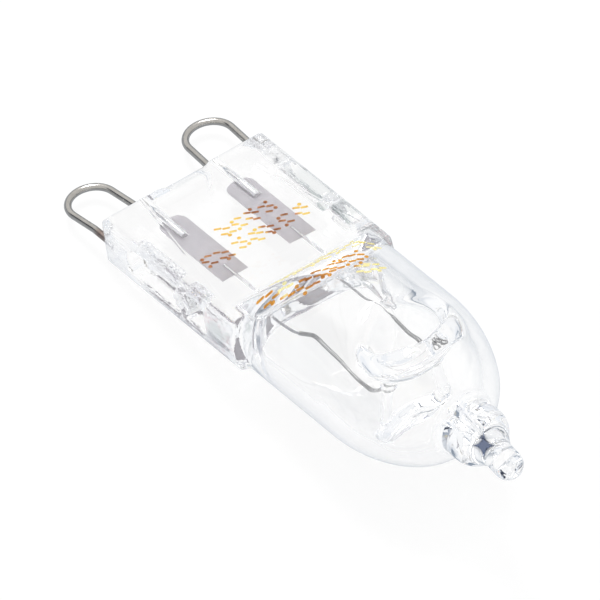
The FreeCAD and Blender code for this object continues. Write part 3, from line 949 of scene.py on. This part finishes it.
def lead_finish():
    """Drawn wire, bright where the glass keeps it from the heat of the coil."""
    finish = new_finish("drawn_lead")
    point = finish.place()
    x, _, _ = finish.axes(point)
    grain = finish.noise(point, 8.0, 2.0, 0.5, (0.2, 1, 1))
    colour = finish.blend(x.ramp(14.8, 15.4), SEALED_LEAD, finish.blend(grain, *TUNGSTEN))
    finish.surface({"Base Color": colour, "Metallic": 1.0, "Roughness": grain * 0.1 + 0.12})
    return finish.owner


def coil_finish():
    finish = new_finish("tungsten_coil")
    grain = finish.noise(finish.place(), 5.0, 2.0, 0.5)
    finish.surface({"Base Color": finish.blend(grain, *TUNGSTEN), "Metallic": 1.0,
                    "Roughness": grain * 0.1 + 0.35})
    return finish.owner


def dress(piece, finish):
    piece.data.materials.clear()
    piece.data.materials.append(finish)


dress(glass, quartz_finish())
wire = wire_finish()
foil = foil_finish()
lead = lead_finish()
for side in ("left", "right"):
    dress(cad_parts["contact_loop_" + side], wire)
    dress(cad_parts["foil_" + side], foil)
    dress(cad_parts["inner_lead_" + side], lead)
dress(winding, coil_finish())
dress(ink, ink_finish())

# Stage

FLOOR_SIZE = 2.0
FLOOR_GLOW = 0.9
HORIZON = (0.22, 0.27, 0.34, 1)
FAR_TABLE = (0.45, 0.50, 0.57, 1)
GLOSS_SHADE = 0.8
ONE_MIRRORING = (1.5, 1.6)
PALER_AWAY, PALER_MIRRORED = 0.5, 0.9
PANEL_FACING = Vector((-0.62, -0.60, 0.40)).normalized()
PANEL_EDGE = (0.955, 0.985)
PANEL_TONE = (0.03, 0.04, 0.07, 1)
LIGHT_SIZE, LIGHT_POWER = 0.25, 4.0
LIGHT_PLACE = Vector((-0.35, 0.1, 0.8))


def floor_finish():
    """White table that glows for what looks at it, greyer further off as the glass and the metal see it, and
    still takes a faint shadow. The grey fades out past the tip, and is weaker beyond the contact end."""
    finish = new_finish("white_table")
    point = finish.node("ShaderNodeTexCoord", {}, {}, "Object")
    plain = finish.surface({"Base Color": finish.blend(finish.noise(point, 3.0), *TABLE), "Roughness": 0.9,
                            "Specular IOR Level": 0.0})
    x, y, _ = finish.axes(point)
    behind = (x * -1).ramp(0.02, 0.05)
    away = (x * x + y * y).math("SQRT").ramp(0.02, 0.09) * x.below(0.02, 0.06)
    away = away * (1 - behind * PALER_AWAY)
    direct = finish.ray("Is Camera Ray")
    glossy = finish.ray("Is Glossy Ray")
    through = finish.ray("Is Transmission Ray")
    mirrored = glossy * (1 - through) * GLOSS_SHADE * finish.ray("Glossy Depth").below(*ONE_MIRRORING)
    mirrored = mirrored * (1 - behind * PALER_MIRRORED)
    tone = finish.blend((away + mirrored).clip() * (1 - direct), WHITE, FAR_TABLE)
    glow = finish.node("ShaderNodeEmission", {}, {"Color": tone, "Strength": 1.0})
    seen = (direct + glossy + through).clip()
    finish.show(seen * FLOOR_GLOW, plain, glow)
    return finish.owner


bpy.ops.mesh.primitive_plane_add(size=FLOOR_SIZE)
floor = named("floor")
dress(floor, floor_finish())

# Sky: white overhead and ahead, greyer low down, with one dark panel, and plain white for the camera
world = bpy.data.worlds.new("studio")
bpy.context.scene.world = world
studio = Finish(world)
ahead, across, up = studio.axes(studio.node("ShaderNodeTexCoord", {}, {}, "Generated"))
clear_sky = (up.ramp(0.04, 0.30) + ahead.ramp(0.3, 0.6)).clip()
panel = (ahead * PANEL_FACING.x + across * PANEL_FACING.y + up * PANEL_FACING.z).ramp(*PANEL_EDGE)
colour = studio.blend(clear_sky, HORIZON, WHITE)
colour = studio.blend(panel, colour, PANEL_TONE)
colour = studio.blend(studio.ray("Is Camera Ray"), colour, WHITE)
studio.set(studio.tree.nodes["Background"].inputs["Color"], colour)
bpy.context.scene.view_settings.view_transform = "Standard"

light = bpy.data.objects.new("soft_light", bpy.data.lights.new("soft_light", "AREA"))
bpy.context.collection.objects.link(light)
light.data.size = LIGHT_SIZE
light.data.energy = LIGHT_POWER
light.location = LIGHT_PLACE
light.rotation_euler = (-LIGHT_PLACE).to_track_quat("-Z", "Y").to_euler()

# Camera: where it stands and which way it looks, in the lamp's own axes
EYE = Vector((610.11, -344.30, 580.28))
LOOK_RIGHT = Vector((0.5814, 0.8048, -0.1196))
LOOK_DOWN = Vector((0.4735, -0.4541, -0.7547))
LOOK_AHEAD = Vector((-0.6617, 0.3821, -0.6451))
LENS = 850.34
SENSOR_WIDTH = 36

camera = bpy.data.objects.new("camera", bpy.data.cameras.new("camera"))
bpy.context.collection.objects.link(camera)
lay = Matrix.Rotation(-TILT, 3, "Y")
turn = Matrix((lay @ LOOK_RIGHT, lay @ -LOOK_DOWN, lay @ -LOOK_AHEAD)).transposed()
camera.matrix_world = Matrix.Translation(PLACE @ EYE) @ turn.to_4x4()
camera.data.lens = LENS
camera.data.sensor_width = SENSOR_WIDTH
bpy.context.scene.camera = camera
